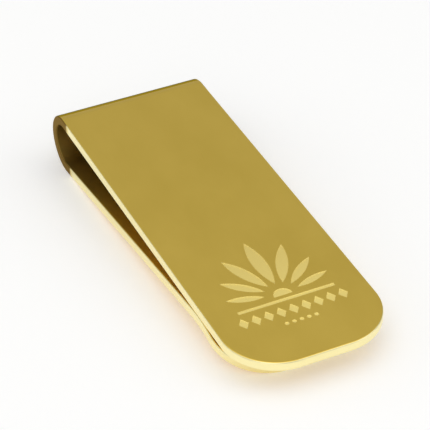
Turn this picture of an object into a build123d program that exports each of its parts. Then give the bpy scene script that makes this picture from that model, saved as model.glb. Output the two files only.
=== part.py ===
from build123d import *
import os
from math import asin, atan2, cos, degrees, hypot, radians, sin

# A money clip: one strip of gold-plated spring brass, folded into a hairpin.
# A flat front plate with rounded corners runs into a round spring fold.
# The fold runs into a clamp arm that rises to the plate, nearly touches it
# along one line, and then flares away as a lip that banknotes slide in under.
#
# The strip is drawn in its own frame: x runs along the front plate from the
# fold's centre line, y runs across the strip, z = 0 is the plate's face.
# At the end it is set down as it lies on a table, on the fold and the lip.

# Driving dimensions, in millimetres and degrees
WIDTH = 20.0
THICKNESS = 1.25
PLATE_LENGTH = 54.5        # from the fold's centre line to the free end
CORNER_RADIUS = 6.8        # both ends of the strip
FOLD_RADIUS = 4.0          # outside of the fold
EDGE_ROUND = 0.2           # polished edges, both faces
GRIP_GAP = 0.1             # plate to arm at the grip line, with no notes in
GRIP_X = 41.5              # the grip line, from the fold's centre line
GRIP_RADIUS = 14.0         # upper face of the arm's crest
LIP_ANGLE = 12.0           # the lip falls away from the plate
LIP_LENGTH = 7.2

# Engraved ornament: a palmette over a row of lozenges and a row of dots.
# Its middle line is the plate's, and its top points at the fold.
ENGRAVING_DEPTH = 0.08
PALMETTE_ROOT_X = 43.6     # the leaves spring from here
PALMETTE_HEIGHT = 10.5
PALMETTE_HALF_WIDTH = 6.6
LEAF_COUNT = 7
LEAF_STEP = 25.0
LEAF_START = 2.3           # from the root to a leaf's near tip
LEAF_SLENDERNESS = 0.21    # a leaf's width over its length
ROOT_RADIUS = 1.15
BAR_X = 44.4
BAR_LENGTH = 12.4
BAR_WIDTH = 0.42
LOZENGE_X = 46.3
LOZENGE_COUNT = 9
LOZENGE_PITCH = 1.6
LOZENGE_SIZE = (1.75, 1.15)
DOT_X = 48.3
DOT_COUNT = 5
DOT_PITCH = 0.95
DOT_RADIUS = 0.24

# Worked out from those
INNER_RADIUS = FOLD_RADIUS - THICKNESS
FOLD_Z = -FOLD_RADIUS
GRIP_Z = -THICKNESS - GRIP_GAP - GRIP_RADIUS
GRIP_INNER_RADIUS = GRIP_RADIUS - THICKNESS

# The arm's upper face is the line that passes under the fold's inner circle
# and over the crest's circle, touching both.
centres_apart = hypot(GRIP_X, GRIP_Z - FOLD_Z)
ARM_ANGLE = (degrees(atan2(GRIP_Z - FOLD_Z, GRIP_X))
             + degrees(asin((INNER_RADIUS + GRIP_RADIUS) / centres_apart)))

NEAR = 0.01                # two places closer than this are one
REACH = 2 * PLATE_LENGTH   # longer than any stretch of the strip


def polar(centre_x, centre_z, radius, angle):
    """The point at that angle, in degrees from +z towards +x, round a centre."""
    turn = radians(angle)
    return (centre_x + radius * sin(turn), centre_z + radius * cos(turn))


def side_profile(*edges):
    """A closed face in the xz plane, drawn with x to the right and z up."""
    return Plane.XZ * make_face(Wire(list(edges)))


def across(profile):
    """The profile carried over the strip's whole width."""
    return extrude(profile, WIDTH / 2, both=True)


def arc(centre, radius, start, middle, end):
    """An arc through three angles round a centre."""
    return ThreePointArc(*(polar(*centre, radius, angle) for angle in (start, middle, end)))


def rounded_end(length):
    """A block as wide as the strip, with rounded corners at x = length."""
    outline = Rectangle(REACH, WIDTH, align=(Align.MAX, Align.CENTER))
    corners = outline.vertices().filter_by(lambda corner: corner.X > -NEAR)
    return Pos(length, 0, 0) * extrude(fillet(corners, CORNER_RADIUS), REACH, both=True)


def round_rim(solid):
    """Rounds the rim of both faces, and leaves the seam with the next solid sharp."""
    def on_rim(edge):
        through_thickness = edge.length < THICKNESS + NEAR
        across_strip = edge.length > WIDTH - NEAR and abs(edge.position_at(0.5).Y) < NEAR
        return not (through_thickness or across_strip)
    return fillet(solid.edges().filter_by(on_rim), EDGE_ROUND)


def leaf(angle):
    """A pointed leaf of two arcs, standing out from the palmette's root."""
    turn = radians(angle)
    reach = 1 / hypot(sin(turn) / PALMETTE_HALF_WIDTH, cos(turn) / PALMETTE_HEIGHT)
    half_width = (reach - LEAF_START) * LEAF_SLENDERNESS / 2
    middle = (reach + LEAF_START) / 2
    near, far = (LEAF_START, 0), (reach, 0)
    sides = [ThreePointArc(near, (middle, half_width), far),
             ThreePointArc(far, (middle, -half_width), near)]
    shape = make_face(Wire(sides))
    return Pos(PALMETTE_ROOT_X, 0) * Rot(0, 0, 180 - angle) * shape


def row(x, count, pitch, shape):
    """The same shape repeated across the plate."""
    return [Pos(x, (i - (count - 1) / 2) * pitch) * shape for i in range(count)]


def ornament():
    """All that is engraved, as flat faces on the plate's face."""
    shapes = [leaf((i - (LEAF_COUNT - 1) / 2) * LEAF_STEP) for i in range(LEAF_COUNT)]
    leaf_side = Rectangle(ROOT_RADIUS, 2 * ROOT_RADIUS, align=(Align.MAX, Align.CENTER))
    shapes.append(Pos(PALMETTE_ROOT_X, 0) * (Circle(ROOT_RADIUS) & leaf_side))
    shapes.append(Pos(BAR_X, 0) * Rectangle(BAR_WIDTH, BAR_LENGTH))
    length, width = LOZENGE_SIZE
    lozenge = make_face(Polyline((-length / 2, 0), (0, -width / 2), (length / 2, 0),
                                 (0, width / 2), close=True))
    shapes += row(LOZENGE_X, LOZENGE_COUNT, LOZENGE_PITCH, lozenge)
    shapes += row(DOT_X, DOT_COUNT, DOT_PITCH, Circle(DOT_RADIUS))
    return shapes


def front_plate():
    blank = Box(PLATE_LENGTH, WIDTH, THICKNESS, align=(Align.MIN, Align.CENTER, Align.MAX))
    plate = round_rim(blank & rounded_end(PLATE_LENGTH))
    for shape in ornament():
        plate -= extrude(shape, -ENGRAVING_DEPTH)
    return plate


def spring_fold():
    centre = (0, FOLD_Z)
    end = -180 - ARM_ANGLE
    outside = arc(centre, FOLD_RADIUS, 0, end / 2, end)
    inside = arc(centre, INNER_RADIUS, end, end / 2, 0)
    profile = side_profile(outside, Line(outside @ 1, inside @ 0), inside,
                           Line(inside @ 1, outside @ 0))
    # Only the four long arcs are rim, and the fold's two end faces are seams.
    return fillet(across(profile).edges().filter_by(GeomType.CIRCLE), EDGE_ROUND)


def clamp_arm():
    fold, crest = (0, FOLD_Z), (GRIP_X, GRIP_Z)
    root = -180 - ARM_ANGLE
    root_above, root_below = polar(*fold, INNER_RADIUS, root), polar(*fold, FOLD_RADIUS, root)
    bend = (-ARM_ANGLE, (LIP_ANGLE - ARM_ANGLE) / 2, LIP_ANGLE)
    above = arc(crest, GRIP_RADIUS, *bend)
    below = arc(crest, GRIP_INNER_RADIUS, *reversed(bend))
    drop = radians(LIP_ANGLE)
    run = (LIP_LENGTH * cos(drop), -LIP_LENGTH * sin(drop))
    tip_above = (above @ 1) + Vector(*run)
    tip_below = (below @ 0) + Vector(*run)
    profile = side_profile(Line(root_above, above @ 0), above, Line(above @ 1, tip_above),
                           Line(tip_above, tip_below), Line(tip_below, below @ 0), below,
                           Line(below @ 1, root_below), Line(root_below, root_above))
    lip = Pos(tip_above.X, 0, tip_above.Y) * Rot(0, LIP_ANGLE, 0)
    return round_rim(across(profile) & lip * rounded_end(0))


def rest_angle():
    """How steeply the table slopes in the strip's frame, touching the fold and the lip."""
    lip_end = polar(GRIP_X, GRIP_Z, GRIP_INNER_RADIUS + EDGE_ROUND, LIP_ANGLE)
    drop = radians(LIP_ANGLE)
    inset = LIP_LENGTH - EDGE_ROUND
    across_x = lip_end[0] + inset * cos(drop)
    across_z = lip_end[1] - inset * sin(drop) - FOLD_Z
    return (degrees(atan2(across_z, across_x))
            + degrees(asin((FOLD_RADIUS - EDGE_ROUND) / hypot(across_x, across_z))))


nodes = {"front_plate": front_plate(), "spring_fold": spring_fold(), "clamp_arm": clamp_arm()}

# Set the clip down on the table, with the origin under the middle of its box.
tilt = rest_angle()
lying = {name: Rot(0, tilt, 0) * solid for name, solid in nodes.items()}
boxes = [solid.bounding_box() for solid in lying.values()]
middle_x = (min(box.min.X for box in boxes) + max(box.max.X for box in boxes)) / 2
lowest_z = min(box.min.Z for box in boxes)
settle = Pos(-middle_x, 0, -lowest_z)

os.makedirs("parts", exist_ok=True)
for name, solid in lying.items():
    export_step(settle * solid, f"parts/{name}.step")
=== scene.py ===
from math import asin, atan2, cos, degrees, hypot, pi, radians, sin, sqrt

import bpy
from mathutils import Matrix, Vector
from mathutils.geometry import delaunay_2d_cdt


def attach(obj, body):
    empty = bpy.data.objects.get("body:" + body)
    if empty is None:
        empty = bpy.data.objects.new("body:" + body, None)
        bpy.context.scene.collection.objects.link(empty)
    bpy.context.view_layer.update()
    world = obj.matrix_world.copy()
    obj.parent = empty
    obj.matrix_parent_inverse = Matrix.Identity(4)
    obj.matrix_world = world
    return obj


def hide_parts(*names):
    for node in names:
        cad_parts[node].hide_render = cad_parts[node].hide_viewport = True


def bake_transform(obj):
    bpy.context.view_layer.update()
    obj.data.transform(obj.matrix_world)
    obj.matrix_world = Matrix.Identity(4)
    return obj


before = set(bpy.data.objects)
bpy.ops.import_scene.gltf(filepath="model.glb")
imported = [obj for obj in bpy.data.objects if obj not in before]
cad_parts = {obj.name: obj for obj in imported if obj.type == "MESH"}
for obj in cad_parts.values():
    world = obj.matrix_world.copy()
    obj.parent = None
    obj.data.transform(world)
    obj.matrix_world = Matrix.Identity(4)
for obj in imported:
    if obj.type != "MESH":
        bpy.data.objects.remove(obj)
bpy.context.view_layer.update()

# ---------------------------------------------------------------------------
# Sizes, in millimetres and degrees
# ---------------------------------------------------------------------------
# The strip, as in the CAD model
MM = 0.001
WIDTH = 20.0
THICKNESS = 1.25
PLATE_LENGTH = 54.5        # from the fold's centre line to the free end
CORNER_RADIUS = 6.8        # both ends of the strip
FOLD_RADIUS = 4.0          # outside of the fold
EDGE_ROUND = 0.2
GRIP_GAP = 0.1             # plate to arm at the grip line
GRIP_X = 41.5              # the grip line, from the fold's centre line
GRIP_RADIUS = 14.0         # upper face of the arm's crest
LIP_ANGLE = 12.0
LIP_LENGTH = 7.2

# The ornament: a palmette over a row of lozenges and a row of dots
ENGRAVING_DEPTH = 0.08
PALMETTE_ROOT_X = 43.6     # the leaves spring from here
PALMETTE_HEIGHT = 10.5
PALMETTE_HALF_WIDTH = 6.6
LEAF_COUNT = 7
LEAF_STEP = 25.0
LEAF_START = 2.3           # from the root to a leaf's near tip
LEAF_SLENDERNESS = 0.21    # a leaf's width over its length
ROOT_RADIUS = 1.15
BAR_X = 44.4
BAR_LENGTH = 12.4
BAR_WIDTH = 0.42
LOZENGE_X = 46.3
LOZENGE_COUNT = 9
LOZENGE_PITCH = 1.6
LOZENGE_SIZE = (1.75, 1.15)
DOT_X = 48.3
DOT_COUNT = 5
DOT_PITCH = 0.95
DOT_RADIUS = 0.24

# The engraved wall, from the face down: outward from the drawn line, depth, lean
WALL = ((0.035, 0.0, 0.25), (0.012, 0.012, 0.8), (-0.03, 0.066, 0.8),
        (-0.05, ENGRAVING_DEPTH, 0.25))
MITRE_LIMIT = 2.5          # how far a sharp corner's mitre may stretch

# How finely each stretch is divided
ROUND_STEPS = 6
CORNER_STEPS = 40
PLATE_STEPS = 24
ARM_STEPS = 16
CREST_STEPS = 20
FOLD_STEPS = 94
LEAF_STEPS = 18
HALF_DISC_STEPS = 24
DOT_STEPS = 16

# Where the finishes change
EDGE_FINISH_START = 2      # steps down the upper round that still have the face's finish
# These two say where the bend's painted shade reaches.
BEND_EDGE_END = 1.9        # the bend's cut sides, up to here past its centre line
BEND_SKIN_START = 12.0     # the bend's outside, from here round it

# Tolerances for the triangles of the flat faces
SAME_STOP = 1e-6
SAME_POINT = 1e-7
INSIDE_ONLY = 1            # the output of delaunay_2d_cdt that is wanted

# Worked out from those
INNER_RADIUS = FOLD_RADIUS - THICKNESS
FOLD_Z = -FOLD_RADIUS
GRIP_Z = -THICKNESS - GRIP_GAP - GRIP_RADIUS
GRIP_INNER_RADIUS = GRIP_RADIUS - THICKNESS
centres_apart = hypot(GRIP_X, GRIP_Z - FOLD_Z)
ARM_ANGLE = (degrees(atan2(GRIP_Z - FOLD_Z, GRIP_X))
             + degrees(asin((INNER_RADIUS + GRIP_RADIUS) / centres_apart)))
ARM_LENGTH = sqrt(centres_apart**2 - (INNER_RADIUS + GRIP_RADIUS)**2)
CREST_LENGTH = GRIP_RADIUS * radians(ARM_ANGLE + LIP_ANGLE)
FOLD_TURN = 180 + ARM_ANGLE

# ---------------------------------------------------------------------------
# Where the strip lies. Its own xz frame has x along the plate from the fold's
# centre line and z = 0 at the plate's face. Along the strip, s runs on its
# face, y across it, and h is the height above the face.
# ---------------------------------------------------------------------------
# It rests on the table with its fold and with the tip of its lip.
lip_x = (GRIP_X + (GRIP_INNER_RADIUS + EDGE_ROUND) * sin(radians(LIP_ANGLE))
         + (LIP_LENGTH - EDGE_ROUND) * cos(radians(LIP_ANGLE)))
lip_z = (GRIP_Z + (GRIP_INNER_RADIUS + EDGE_ROUND) * cos(radians(LIP_ANGLE))
         - (LIP_LENGTH - EDGE_ROUND) * sin(radians(LIP_ANGLE)) - FOLD_Z)
TILT = atan2(lip_z, lip_x) + asin((FOLD_RADIUS - EDGE_ROUND) / hypot(lip_x, lip_z))

# The row frame's origin is under the middle of the clip, from the fold to the plate's tip.
tip_x = ((PLATE_LENGTH - EDGE_ROUND) * cos(TILT) + (FOLD_RADIUS - EDGE_ROUND) * sin(TILT)
         + EDGE_ROUND)
fold_centre = Vector(((FOLD_RADIUS - tip_x) / 2, 0, FOLD_RADIUS)) * MM
TO_ROW = (Matrix.Translation(fold_centre) @ Matrix.Rotation(TILT, 4, "Y")
          @ Matrix.Translation((0, 0, FOLD_RADIUS * MM)))


def row_point(x, y, z):
    """A point of the strip's xyz frame, in millimetres, as a row point in metres."""
    return TO_ROW @ (Vector((x, y, z)) * MM)


# Each of these maps (s, h) to x, z and the slope there, in radians.
def along_plate(s, h):
    return (s, h, 0.0)


def along_fold(s, h):
    """s is the angle turned round the fold, in degrees, and h is below the outside."""
    turn = radians(-s)
    r = FOLD_RADIUS + h
    return (r * sin(turn), FOLD_Z + r * cos(turn), -turn)


def along_arm(s, h):
    """s runs from the fold to the lip's tip on the arm's upper face."""
    if s <= ARM_LENGTH:
        slope = radians(ARM_ANGLE)
        x = INNER_RADIUS * sin(slope) + s * cos(slope)
        z = FOLD_Z - INNER_RADIUS * cos(slope) + s * sin(slope)
    else:
        slope = radians(ARM_ANGLE) - min(s - ARM_LENGTH, CREST_LENGTH) / GRIP_RADIUS
        past_crest = max(s - ARM_LENGTH - CREST_LENGTH, 0.0)
        x = GRIP_X - GRIP_RADIUS * sin(slope) + past_crest * cos(slope)
        z = GRIP_Z + GRIP_RADIUS * cos(slope) + past_crest * sin(slope)
    return (x - h * sin(slope), z + h * cos(slope), slope)


# ---------------------------------------------------------------------------
# Meshes
# ---------------------------------------------------------------------------
class Sheet:
    """Collects points with their normals and faces, for one stretch of the strip."""

    def __init__(self, along):
        self.along = along
        self.points = []
        self.normals = []
        self.ups = []
        self.faces = []

    def add(self, s, y, h, normal):
        """A point of the strip. The normal is given along s, along y and upwards."""
        x, z, slope = self.along(s, h)
        self.points.append(row_point(x, y, z))
        n_s, n_y, n_h = normal
        turned = Vector((n_s * cos(slope) - n_h * sin(slope), n_y,
                         n_s * sin(slope) + n_h * cos(slope)))
        self.normals.append((TO_ROW.to_3x3() @ turned).normalized())
        self.ups.append(TO_ROW.to_3x3() @ Vector((-sin(slope), 0, cos(slope))))
        return len(self.points) - 1

    def face(self, corners, finish, shading="round"):
        """shading is round, flat, or up or down for the strip's own faces."""
        self.faces.append((list(corners), finish, shading))

    def strip_between(self, first, second, finishes, closed=False):
        """Quads between two rows of points, each with its own finish."""
        count = len(first)
        for i, finish in zip(range(count if closed else count - 1), finishes):
            j = (i + 1) % count
            self.face((first[i], second[i], second[j], first[j]), finish)

    def make(self, name):
        """The Blender object, with its finishes as materials and the normals kept."""
        mesh = bpy.data.meshes.new(name)
        mesh.from_pydata([p[:] for p in self.points], [], [f[0] for f in self.faces])
        used = sorted({finish for _, finish, _ in self.faces})
        for finish in used:
            mesh.materials.append(GOLDS[finish])
        loop_normals = []
        for polygon, (corners, finish, shading) in zip(mesh.polygons, self.faces):
            polygon.material_index = used.index(finish)
            polygon.use_smooth = True
            flat = polygon.normal.copy()
            for corner in corners:
                loop_normals.append({"round": self.normals[corner], "flat": flat,
                                     "up": self.ups[corner], "down": -self.ups[corner]}[shading])
        mesh.normals_split_custom_set(loop_normals)
        mesh.validate()
        piece = bpy.data.objects.new(name, mesh)
        bpy.context.scene.collection.objects.link(piece)
        return piece


def evenly(start, end, steps):
    """Places from start to end, both included."""
    return [start + (end - start) * i / steps for i in range(steps + 1)]


def quarter_turn(steps):
    """The sine and cosine at each step of a quarter turn."""
    return [(sin(a), cos(a)) for a in evenly(0, pi / 2, steps)]


def rim_profile():
    """(inset, height, outward, upward) from the face's edge round to the back's edge."""
    upper = [(EDGE_ROUND * (1 - sine), EDGE_ROUND * (cosine - 1), sine, cosine)
             for sine, cosine in quarter_turn(ROUND_STEPS)]
    lower = [(EDGE_ROUND * (1 - cosine), EDGE_ROUND * (1 - sine) - THICKNESS, cosine, -sine)
             for sine, cosine in quarter_turn(ROUND_STEPS)]
    return upper + lower


def rim_finishes(edge, above, below):
    """The finish of each step down the rim: the face's, the cut edge's and the back's."""
    return ([above] * EDGE_FINISH_START + [edge] * (2 * ROUND_STEPS - EDGE_FINISH_START)
            + [below])


def tongue_outline(length, stops):
    """(s, y, outward s, outward y) round a strip's free end, from seam to seam."""
    half = WIDTH / 2
    corner_s = length - CORNER_RADIUS
    side = [(s, half, 0, 1) for s in stops if s < corner_s]
    corner = [(corner_s + CORNER_RADIUS * sine, half - CORNER_RADIUS + CORNER_RADIUS * cosine,
               sine, cosine) for sine, cosine in quarter_turn(CORNER_STEPS)]
    right = side + corner
    left = [(s, -y, n_s, -n_y) for s, y, n_s, n_y in right]
    return left + right[::-1]


def inside(point, loop):
    """Whether a point is inside a closed loop."""
    crossings = False
    for (s0, y0, _), (s1, y1, _) in zip(loop, loop[1:] + loop[:1]):
        if (y0 > point.y) != (y1 > point.y):
            if point.x < s0 + (point.y - y0) / (y1 - y0) * (s1 - s0):
                crossings = not crossings
    return crossings


def fill(sheet, rim, holes, stops, height, upward, finish):
    """Triangles over the face inside the rim, round the holes and along the stops.

    The rim and each hole are closed rows of (s, y, the point's index in the sheet).
    """
    coords, edges, ids = [], [], []

    def ring(points):
        base = len(coords)
        for s, y, index in points:
            coords.append(Vector((s, y)))
            ids.append(index)
        edges.extend((base + i, base + (i + 1) % len(points)) for i in range(len(points)))

    ring(rim)
    engraved = [s for hole in holes for s, _, _ in hole]
    for stop in stops:
        if engraved and min(engraved) < stop < max(engraved):
            continue
        ends = [i for i, (s, _, _) in enumerate(rim) if abs(s - stop) < SAME_STOP]
        if len(ends) == 2:
            edges.append(tuple(ends))
    for hole in holes:
        ring(hole)
    found = delaunay_2d_cdt(coords, edges, [], INSIDE_ONLY, SAME_POINT, True)
    points, triangles, origins = found[0], found[2], found[3]
    index = [ids[origin[0]] if origin else sheet.add(point.x, point.y, height, (0, 0, upward))
             for point, origin in zip(points, origins)]
    for triangle in triangles:
        middle = sum((points[i] for i in triangle), Vector((0, 0))) / 3
        if any(inside(middle, hole) for hole in holes):
            continue
        corners = [index[i] for i in triangle]
        if upward > 0:
            sheet.face(corners, finish, "up")
        else:
            sheet.face(corners[::-1], finish, "down")


def tongue(name, along, length, stops, above, below, ornament=()):
    """A flat or bent stretch with a rounded free end and its seam at s = 0."""
    sheet = Sheet(along)
    stops = sorted([*stops, BEND_EDGE_END])
    outline = tongue_outline(length, stops)
    columns = [rim_finishes("bend_edge" if max(here[0], there[0]) <= BEND_EDGE_END else "edge",
                            above, below)
               for here, there in zip(outline, outline[1:])]
    rows = []
    for inset, height, outward, upward in rim_profile():
        rows.append([sheet.add(s - n_s * inset, y - n_y * inset, height,
                               (n_s * outward, n_y * outward, upward))
                     for s, y, n_s, n_y in outline])
    for step, (upper, lower) in enumerate(zip(rows, rows[1:])):
        sheet.strip_between(upper, lower, [column[step] for column in columns])
    seam = [row[0] for row in rows] + [row[-1] for row in rows[::-1]]
    sheet.face(seam[::-1], above, "flat")

    def rim(row):
        return [(s - n_s * EDGE_ROUND, y - n_y * EDGE_ROUND, index)
                for (s, y, n_s, n_y), index in zip(outline, row)]

    holes = [engrave(sheet, shape) for shape in ornament]
    fill(sheet, rim(rows[0]), holes, stops, 0.0, 1, above)
    fill(sheet, rim(rows[-1]), [], stops, -THICKNESS, -1, below)
    return sheet.make(name)


def bend(name):
    """The strip's section swept round the fold, closed at both seams."""
    sheet = Sheet(along_fold)
    profile = rim_profile()
    turns = evenly(0, FOLD_TURN, FOLD_STEPS)
    rings = []
    for turned in turns:
        left = [sheet.add(turned, -(WIDTH / 2 - inset), height, (0, -outward, upward))
                for inset, height, outward, upward in profile]
        right = [sheet.add(turned, WIDTH / 2 - inset, height, (0, outward, upward))
                 for inset, height, outward, upward in profile]
        rings.append(left + right[::-1])
    for turned, first, second in zip(turns, rings, rings[1:]):
        outside = "bend" if turned >= BEND_SKIN_START else "face"
        rim = rim_finishes("bend_edge", outside, "inner")
        sheet.strip_between(first, second, [*rim, "inner", *rim[::-1], outside], closed=True)
    sheet.face(rings[0], "face", "flat")
    sheet.face(rings[-1][::-1], "face", "flat")
    return sheet.make(name)


# ---------------------------------------------------------------------------
# Ornament
# ---------------------------------------------------------------------------
def arc_points(centre, radius, start, end, steps):
    """Points on an arc, angles in radians from +s towards +y, both ends included."""
    return [(centre[0] + radius * cos(a), centre[1] + radius * sin(a))
            for a in evenly(start, end, steps)]


def lens(near, far, half_width):
    """A pointed leaf of two arcs along +s, as a closed anticlockwise loop."""
    half = (far - near) / 2
    radius = (half**2 + half_width**2) / (2 * half_width)
    sweep = asin(half / radius)
    middle = (near + far) / 2
    lower = arc_points((middle, radius - half_width), radius, -pi / 2 - sweep,
                       -pi / 2 + sweep, LEAF_STEPS)
    upper = arc_points((middle, half_width - radius), radius, pi / 2 - sweep,
                       pi / 2 + sweep, LEAF_STEPS)
    return lower[:-1] + upper[:-1]


def placed(loop, x, y, turn=0.0):
    """The loop turned about its origin and moved."""
    return [(x + u * cos(turn) - v * sin(turn), y + u * sin(turn) + v * cos(turn))
            for u, v in loop]


def row_of(loop, x, count, pitch):
    """The loop repeated across the plate."""
    return [placed(loop, x, (i - (count - 1) / 2) * pitch) for i in range(count)]


def ornament_loops():
    """The outlines of all that is engraved."""
    loops = []
    for i in range(LEAF_COUNT):
        angle = radians((i - (LEAF_COUNT - 1) / 2) * LEAF_STEP)
        reach = 1 / hypot(sin(angle) / PALMETTE_HALF_WIDTH, cos(angle) / PALMETTE_HEIGHT)
        leaf = lens(LEAF_START, reach, (reach - LEAF_START) * LEAF_SLENDERNESS / 2)
        loops.append(placed(leaf, PALMETTE_ROOT_X, 0, pi - angle))
    half_disc = arc_points((0, 0), ROOT_RADIUS, pi / 2, 3 * pi / 2, HALF_DISC_STEPS)
    loops.append(placed(half_disc, PALMETTE_ROOT_X, 0))
    half_x, half_y = BAR_WIDTH / 2, BAR_LENGTH / 2
    bar = [(-half_x, -half_y), (half_x, -half_y), (half_x, half_y), (-half_x, half_y)]
    loops.append(placed(bar, BAR_X, 0))
    half_x, half_y = LOZENGE_SIZE[0] / 2, LOZENGE_SIZE[1] / 2
    lozenge = [(half_x, 0), (0, half_y), (-half_x, 0), (0, -half_y)]
    loops += row_of(lozenge, LOZENGE_X, LOZENGE_COUNT, LOZENGE_PITCH)
    dot = arc_points((0, 0), DOT_RADIUS, 0, 2 * pi, DOT_STEPS)[:-1]
    loops += row_of(dot, DOT_X, DOT_COUNT, DOT_PITCH)
    return loops


def mitres(loop):
    """(outward direction, stretch) at each corner of a closed anticlockwise loop."""
    found = []
    for before, here, after in zip(loop[-1:] + loop[:-1], loop, loop[1:] + loop[:1]):
        first = (Vector(here) - Vector(before)).normalized()
        second = (Vector(after) - Vector(here)).normalized()
        first, second = Vector((first.y, -first.x)), Vector((second.y, -second.x))
        bisector = (first + second).normalized()
        found.append((bisector, 1 / max(bisector.dot(first), 1 / MITRE_LIMIT)))
    return found


def engrave(sheet, loop):
    """The wall and floor of one engraved shape. Returns its edge in the face."""
    rings = []
    for outward, depth, lean in WALL:
        ring = []
        for (s, y), (normal, stretch) in zip(loop, mitres(loop)):
            there = (s + normal.x * stretch * outward, y + normal.y * stretch * outward)
            index = sheet.add(*there, -depth, (-normal.x * lean, -normal.y * lean, 1))
            ring.append((*there, index))
        rings.append(ring)
    rows = [[index for _, _, index in ring] for ring in rings]
    for upper, lower in zip(rows, rows[1:]):
        sheet.strip_between(lower, upper, ["frosted"] * len(loop), closed=True)
    sheet.face(rows[-1], "frosted", "flat")
    return rings[0]


# ---------------------------------------------------------------------------
# Materials
# ---------------------------------------------------------------------------
# Noise scales, per metre
SMUDGE_SCALE = 150
SMUDGE_STRETCH = (0.6, 1, 1)
POLISH_SCALE = 7000
POLISH_STRETCH = (0.07, 1, 1)
SCRATCH_SCALE = 120
SCRATCH_STRETCH = (0.35, 1.4, 1.4)
SPARSE_SCALE = 330
WAVE_SCALE = 95
FROST_SCALE = 22000
ALL_ROUND = (1, 1, 1)

# How deep the fine relief is, in metres
POLISH_DEPTH = 0.000002
WAVE_DEPTH = 0.000016
FROST_DEPTH = 0.000006


def node(tree, kind, **inputs):
    """A new node. Each value sets a property of the node or else one of its sockets."""
    made = tree.nodes.new(kind)
    for key, value in inputs.items():
        if hasattr(made, key):
            setattr(made, key, value)
        else:
            made.inputs[key.replace("_", " ")].default_value = value
    return made


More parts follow.
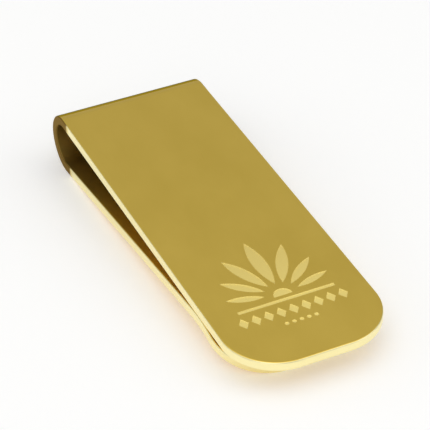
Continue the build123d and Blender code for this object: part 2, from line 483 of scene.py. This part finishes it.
class Gold:
    """A gold plating material, built up from its base colour by the methods below."""

    def __init__(self, name, deep, light, roughness, grain):
        self.material = bpy.data.materials.new(name)
        self.material.use_nodes = True
        self.tree = self.material.node_tree
        self.tree.nodes.clear()
        output = node(self.tree, "ShaderNodeOutputMaterial")
        self.shader = node(self.tree, "ShaderNodeBsdfPrincipled", Metallic=1.0)
        self.link(self.shader.outputs["BSDF"], output.inputs["Surface"])
        self.place = node(self.tree, "ShaderNodeTexCoord").outputs["Object"]
        split = node(self.tree, "ShaderNodeSeparateXYZ")
        self.link(self.place, split.inputs["Vector"])
        self.x = split.outputs["X"]
        # Handling marks vary the tint and the gloss a little over some millimetres.
        smudge = self.noise(SMUDGE_SCALE, SMUDGE_STRETCH, 6, 0.6)
        self.colour = self.mix(self.ramp(smudge, 0.35, 0.68, 0, 1), deep, light)
        gloss = self.ramp(smudge, 0.4, 0.65, roughness - 0.01, roughness + 0.02)
        # Polishing lines run lengthwise, a tenth of a millimetre apart.
        lines = self.noise(POLISH_SCALE, POLISH_STRETCH, 2, 0.5)
        self.gloss = self.add(gloss, self.ramp(lines, 0.3, 0.7, -0.01 * grain, 0.025 * grain))
        self.normal = self.bump(lines, 0.3 * grain, POLISH_DEPTH)
        # Hairline scratches: the level lines of a stretched noise, thinned out by another.
        level = self.noise(SCRATCH_SCALE, SCRATCH_STRETCH, 2, 0.5)
        hair = self.ramp(self.math("ABSOLUTE", self.add(level, -0.5)), 0.0, 0.005, 1, 0)
        sparse = self.ramp(self.noise(SPARSE_SCALE, ALL_ROUND, 2, 0.5), 0.54, 0.62, 0, 1)
        scratch = self.math("MULTIPLY", hair, sparse)
        self.gloss = self.add(self.gloss, self.math("MULTIPLY", scratch, 0.05 * grain))
        # The sheet is never quite flat.
        wave = self.noise(WAVE_SCALE, ALL_ROUND, 1, 0.4)
        self.normal = self.bump(wave, 0.5, WAVE_DEPTH, self.normal)

    def link(self, source, target):
        self.tree.links.new(source, target)

    def noise(self, scale, stretch, detail, rough):
        mapping = node(self.tree, "ShaderNodeMapping", Scale=stretch)
        self.link(self.place, mapping.inputs["Vector"])
        made = node(self.tree, "ShaderNodeTexNoise", Scale=scale, Detail=detail, Roughness=rough)
        self.link(mapping.outputs["Vector"], made.inputs["Vector"])
        return made.outputs["Fac"]

    def ramp(self, source, low, high, start, end, kind="LINEAR"):
        """Runs from start to end while source goes from low to high."""
        made = node(self.tree, "ShaderNodeMapRange", interpolation_type=kind, From_Min=low,
                    From_Max=high, To_Min=start, To_Max=end)
        self.link(source, made.inputs["Value"])
        return made.outputs["Result"]

    def math(self, operation, *terms):
        made = node(self.tree, "ShaderNodeMath", operation=operation)
        for term, socket in zip(terms, made.inputs):
            if isinstance(term, (int, float)):
                socket.default_value = term
            else:
                self.link(term, socket)
        return made.outputs[0]

    def add(self, first, second):
        return self.math("ADD", first, second)

    def mix(self, factor, first, second):
        made = node(self.tree, "ShaderNodeMix", data_type="RGBA")
        for key, colour in (("A", first), ("B", second)):
            if isinstance(colour, tuple):
                made.inputs[key].default_value = (*colour, 1)
            else:
                self.link(colour, made.inputs[key])
        self.link(factor, made.inputs["Factor"])
        return made.outputs["Result"]

    def bump(self, height, strength, distance, under=None):
        made = node(self.tree, "ShaderNodeBump", Strength=strength, Distance=distance)
        self.link(height, made.inputs["Height"])
        if under:
            self.link(under, made.inputs["Normal"])
        return made.outputs["Normal"]

    def frosted(self):
        """Sand-blasted: a fine relief on top of the rest."""
        self.normal = self.bump(self.noise(FROST_SCALE, ALL_ROUND, 2, 0.6), 0.5, FROST_DEPTH,
                                self.normal)
        return self

    def toned(self, low, high, colour, strength, duller=0.0):
        """Goes towards a colour as x, in millimetres from the fold, falls from high to low."""
        low, high = fold_centre.x + low * MM, fold_centre.x + high * MM
        factor = self.ramp(self.x, low, high, strength, 0.0, "SMOOTHSTEP")
        self.colour = self.mix(factor, self.colour, colour)
        self.gloss = self.add(self.gloss, self.math("MULTIPLY", factor, duller))
        return self

    def done(self, grazing=(1, 1, 1)):
        """The material. Its reflection is tinted with grazing at a flat angle."""
        self.shader.inputs["Specular Tint"].default_value = (*grazing, 1)
        self.link(self.colour, self.shader.inputs["Base Color"])
        self.link(self.gloss, self.shader.inputs["Roughness"])
        self.link(self.normal, self.shader.inputs["Normal"])
        return self.material


# Each gold is mottled between a deep and a light colour.
FACE = ((0.975, 0.69, 0.118), (1.0, 0.715, 0.132))
# The cut edges are a paler gold than the face: a painted highlight.
EDGE = ((0.97, 0.87, 0.45), (1.0, 0.90, 0.49))
FROST = ((0.98, 0.84, 0.33), (1.0, 0.88, 0.37))
# Painted shade for the engraving towards the fold.
PAINTED_FROST_SHADE = (0.84, 0.70, 0.25)
# Painted shade for the inside of the bend, near the fold.
PAINTED_CREASE_SHADE = (0.19, 0.125, 0.04)
# Painted shade and darker reflection for the bend's outside.
PAINTED_BEND_SHADE = (0.345, 0.26, 0.078)
# Painted shade for the bend's cut sides.
PAINTED_SIDE_SHADE = (0.175, 0.10, 0.02)

GOLDS = {
    "face": Gold("face_gold", *FACE, 0.30, 1.0).done(),
    "edge": Gold("edge_gold", *EDGE, 0.30, 0.5).done(),
    # Painted shade: the engraving is a little darker towards the fold.
    "frosted": Gold("frosted_gold", *FROST, 0.78, 0.3).frosted()
    .toned(30, 48, PAINTED_FROST_SHADE, 0.6).done(),
    # Painted shade: inside the bend the colour darkens towards the fold, and the gloss dulls.
    "inner": Gold("inner_gold", *FACE, 0.36, 0.7).toned(-1, 16, PAINTED_CREASE_SHADE, 0.75, 0.08).done(),
    # Painted shade and reflection: the bend's outside goes olive from a little past its start,
    # and its reflection is dimmed at a flat angle.
    "bend": Gold("bend_gold", *FACE, 0.30, 1.0).toned(-1.75, -0.85, PAINTED_BEND_SHADE, 0.9, 0.08)
    .done(grazing=(0.38, 0.36, 0.20)),
    # Painted shade: the bend's cut sides go brown throughout, and their reflection is dimmed at
    # a flat angle.
    "bend_edge": Gold("bend_edge_gold", *EDGE, 0.30, 0.5)
    .toned(1.2, BEND_EDGE_END, PAINTED_SIDE_SHADE, 0.98, 0.10).done(grazing=(0.82, 0.70, 0.50)),
}

# ---------------------------------------------------------------------------
# The three pieces
# ---------------------------------------------------------------------------
plate = tongue("front_plate_gold", along_plate, PLATE_LENGTH,
               evenly(0, PLATE_LENGTH, PLATE_STEPS), "face", "inner", ornament_loops())
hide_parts("front_plate")
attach(plate, "front")

arm_stops = (evenly(0, ARM_LENGTH, ARM_STEPS)[:-1]
             + evenly(ARM_LENGTH, ARM_LENGTH + CREST_LENGTH, CREST_STEPS))
arm = tongue("clamp_arm_gold", along_arm, ARM_LENGTH + CREST_LENGTH + LIP_LENGTH, arm_stops,
             "inner", "face")
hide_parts("clamp_arm")
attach(arm, "arm")

fold = bend("spring_fold_gold")
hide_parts("spring_fold")
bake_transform(fold)

# ---------------------------------------------------------------------------
# Floor, light and camera, in metres
# ---------------------------------------------------------------------------
FLOOR_HALF = 3.0
FLOOR_COLOUR = (0.93, 0.93, 0.92, 1)
FLOOR_GLOW = 0.23          # keeps the floor pale where the lamps fall off
STUDIO_GREY = 0.408


def floor_material():
    material = bpy.data.materials.new("pale_floor")
    material.use_nodes = True
    shader = material.node_tree.nodes["Principled BSDF"]
    shader.inputs["Base Color"].default_value = FLOOR_COLOUR
    shader.inputs["Roughness"].default_value = 0.7
    shader.inputs["Specular IOR Level"].default_value = 0.2
    shader.inputs["Emission Color"].default_value = (1, 1, 1, 1)
    shader.inputs["Emission Strength"].default_value = FLOOR_GLOW
    return material


corners = [(-FLOOR_HALF, -FLOOR_HALF, 0), (FLOOR_HALF, -FLOOR_HALF, 0),
           (FLOOR_HALF, FLOOR_HALF, 0), (-FLOOR_HALF, FLOOR_HALF, 0)]
floor_mesh = bpy.data.meshes.new("floor")
floor_mesh.from_pydata(corners, [], [(0, 1, 2, 3)])
floor_mesh.materials.append(floor_material())
floor = bpy.data.objects.new("floor", floor_mesh)
bpy.context.scene.collection.objects.link(floor)

world = bpy.data.worlds.new("studio")
world.use_nodes = True
background = world.node_tree.nodes["Background"]
background.inputs["Color"].default_value = (STUDIO_GREY, STUDIO_GREY, STUDIO_GREY, 1)
bpy.context.scene.world = world
bpy.context.scene.view_settings.view_transform = "Standard"


def softbox(name, place, width, height, watts, shape="ELLIPSE"):
    """A lamp aimed at the clip, with its width level."""
    light = bpy.data.lights.new(name, "AREA")
    light.shape = shape
    light.size = width
    light.size_y = height
    light.energy = watts
    lamp = bpy.data.objects.new(name, light)
    lamp.location = place
    lamp.rotation_mode = "QUATERNION"
    lamp.rotation_quaternion = Vector(place).to_track_quat("Z", "Y")
    bpy.context.scene.collection.objects.link(lamp)


# They stand clear of each other, because overlapping reflections would bleach the gold.
softbox("overhead_softbox", (0.12, -0.08, 1.2), 1.8, 1.8, 5.6)
softbox("key_softbox", (1.15, -0.85, 0.85), 1.6, 1.6, 4.5)
softbox("fill_softbox", (0.90, 1.12, 0.85), 1.6, 1.6, 4.5)
softbox("rim_softbox", (-0.482, -1.034, 0.371), 1.4, 0.5, 1.36, "RECTANGLE")

# The camera's line of sight is given in the plate's own frame, in degrees and millimetres.
VIEW_AZIMUTH = 64.9
VIEW_ELEVATION = 37.86
VIEW_ROLL = -0.35
VIEW_DISTANCE = 251.8
VIEW_TARGET = (26.55, -0.71, 0.0)
FOCAL_LENGTH = 173.2
SENSOR_WIDTH = 36
azimuth, elevation = radians(VIEW_AZIMUTH), radians(VIEW_ELEVATION)
back = Vector((sin(azimuth) * cos(elevation), -cos(azimuth) * cos(elevation), sin(elevation)))
eye = Vector(VIEW_TARGET) + back * VIEW_DISTANCE
camera = bpy.data.objects.new("camera", bpy.data.cameras.new("camera"))
camera.data.lens = FOCAL_LENGTH
camera.data.sensor_width = SENSOR_WIDTH
camera.data.clip_start = 0.01
camera.data.clip_end = 10
level = back.to_track_quat("Z", "Y").to_matrix().to_4x4()
camera.matrix_world = (Matrix.Translation(row_point(*eye)) @ TO_ROW.to_3x3().to_4x4() @ level
                       @ Matrix.Rotation(radians(VIEW_ROLL), 4, "Z"))
bpy.context.scene.collection.objects.link(camera)
bpy.context.scene.camera = camera
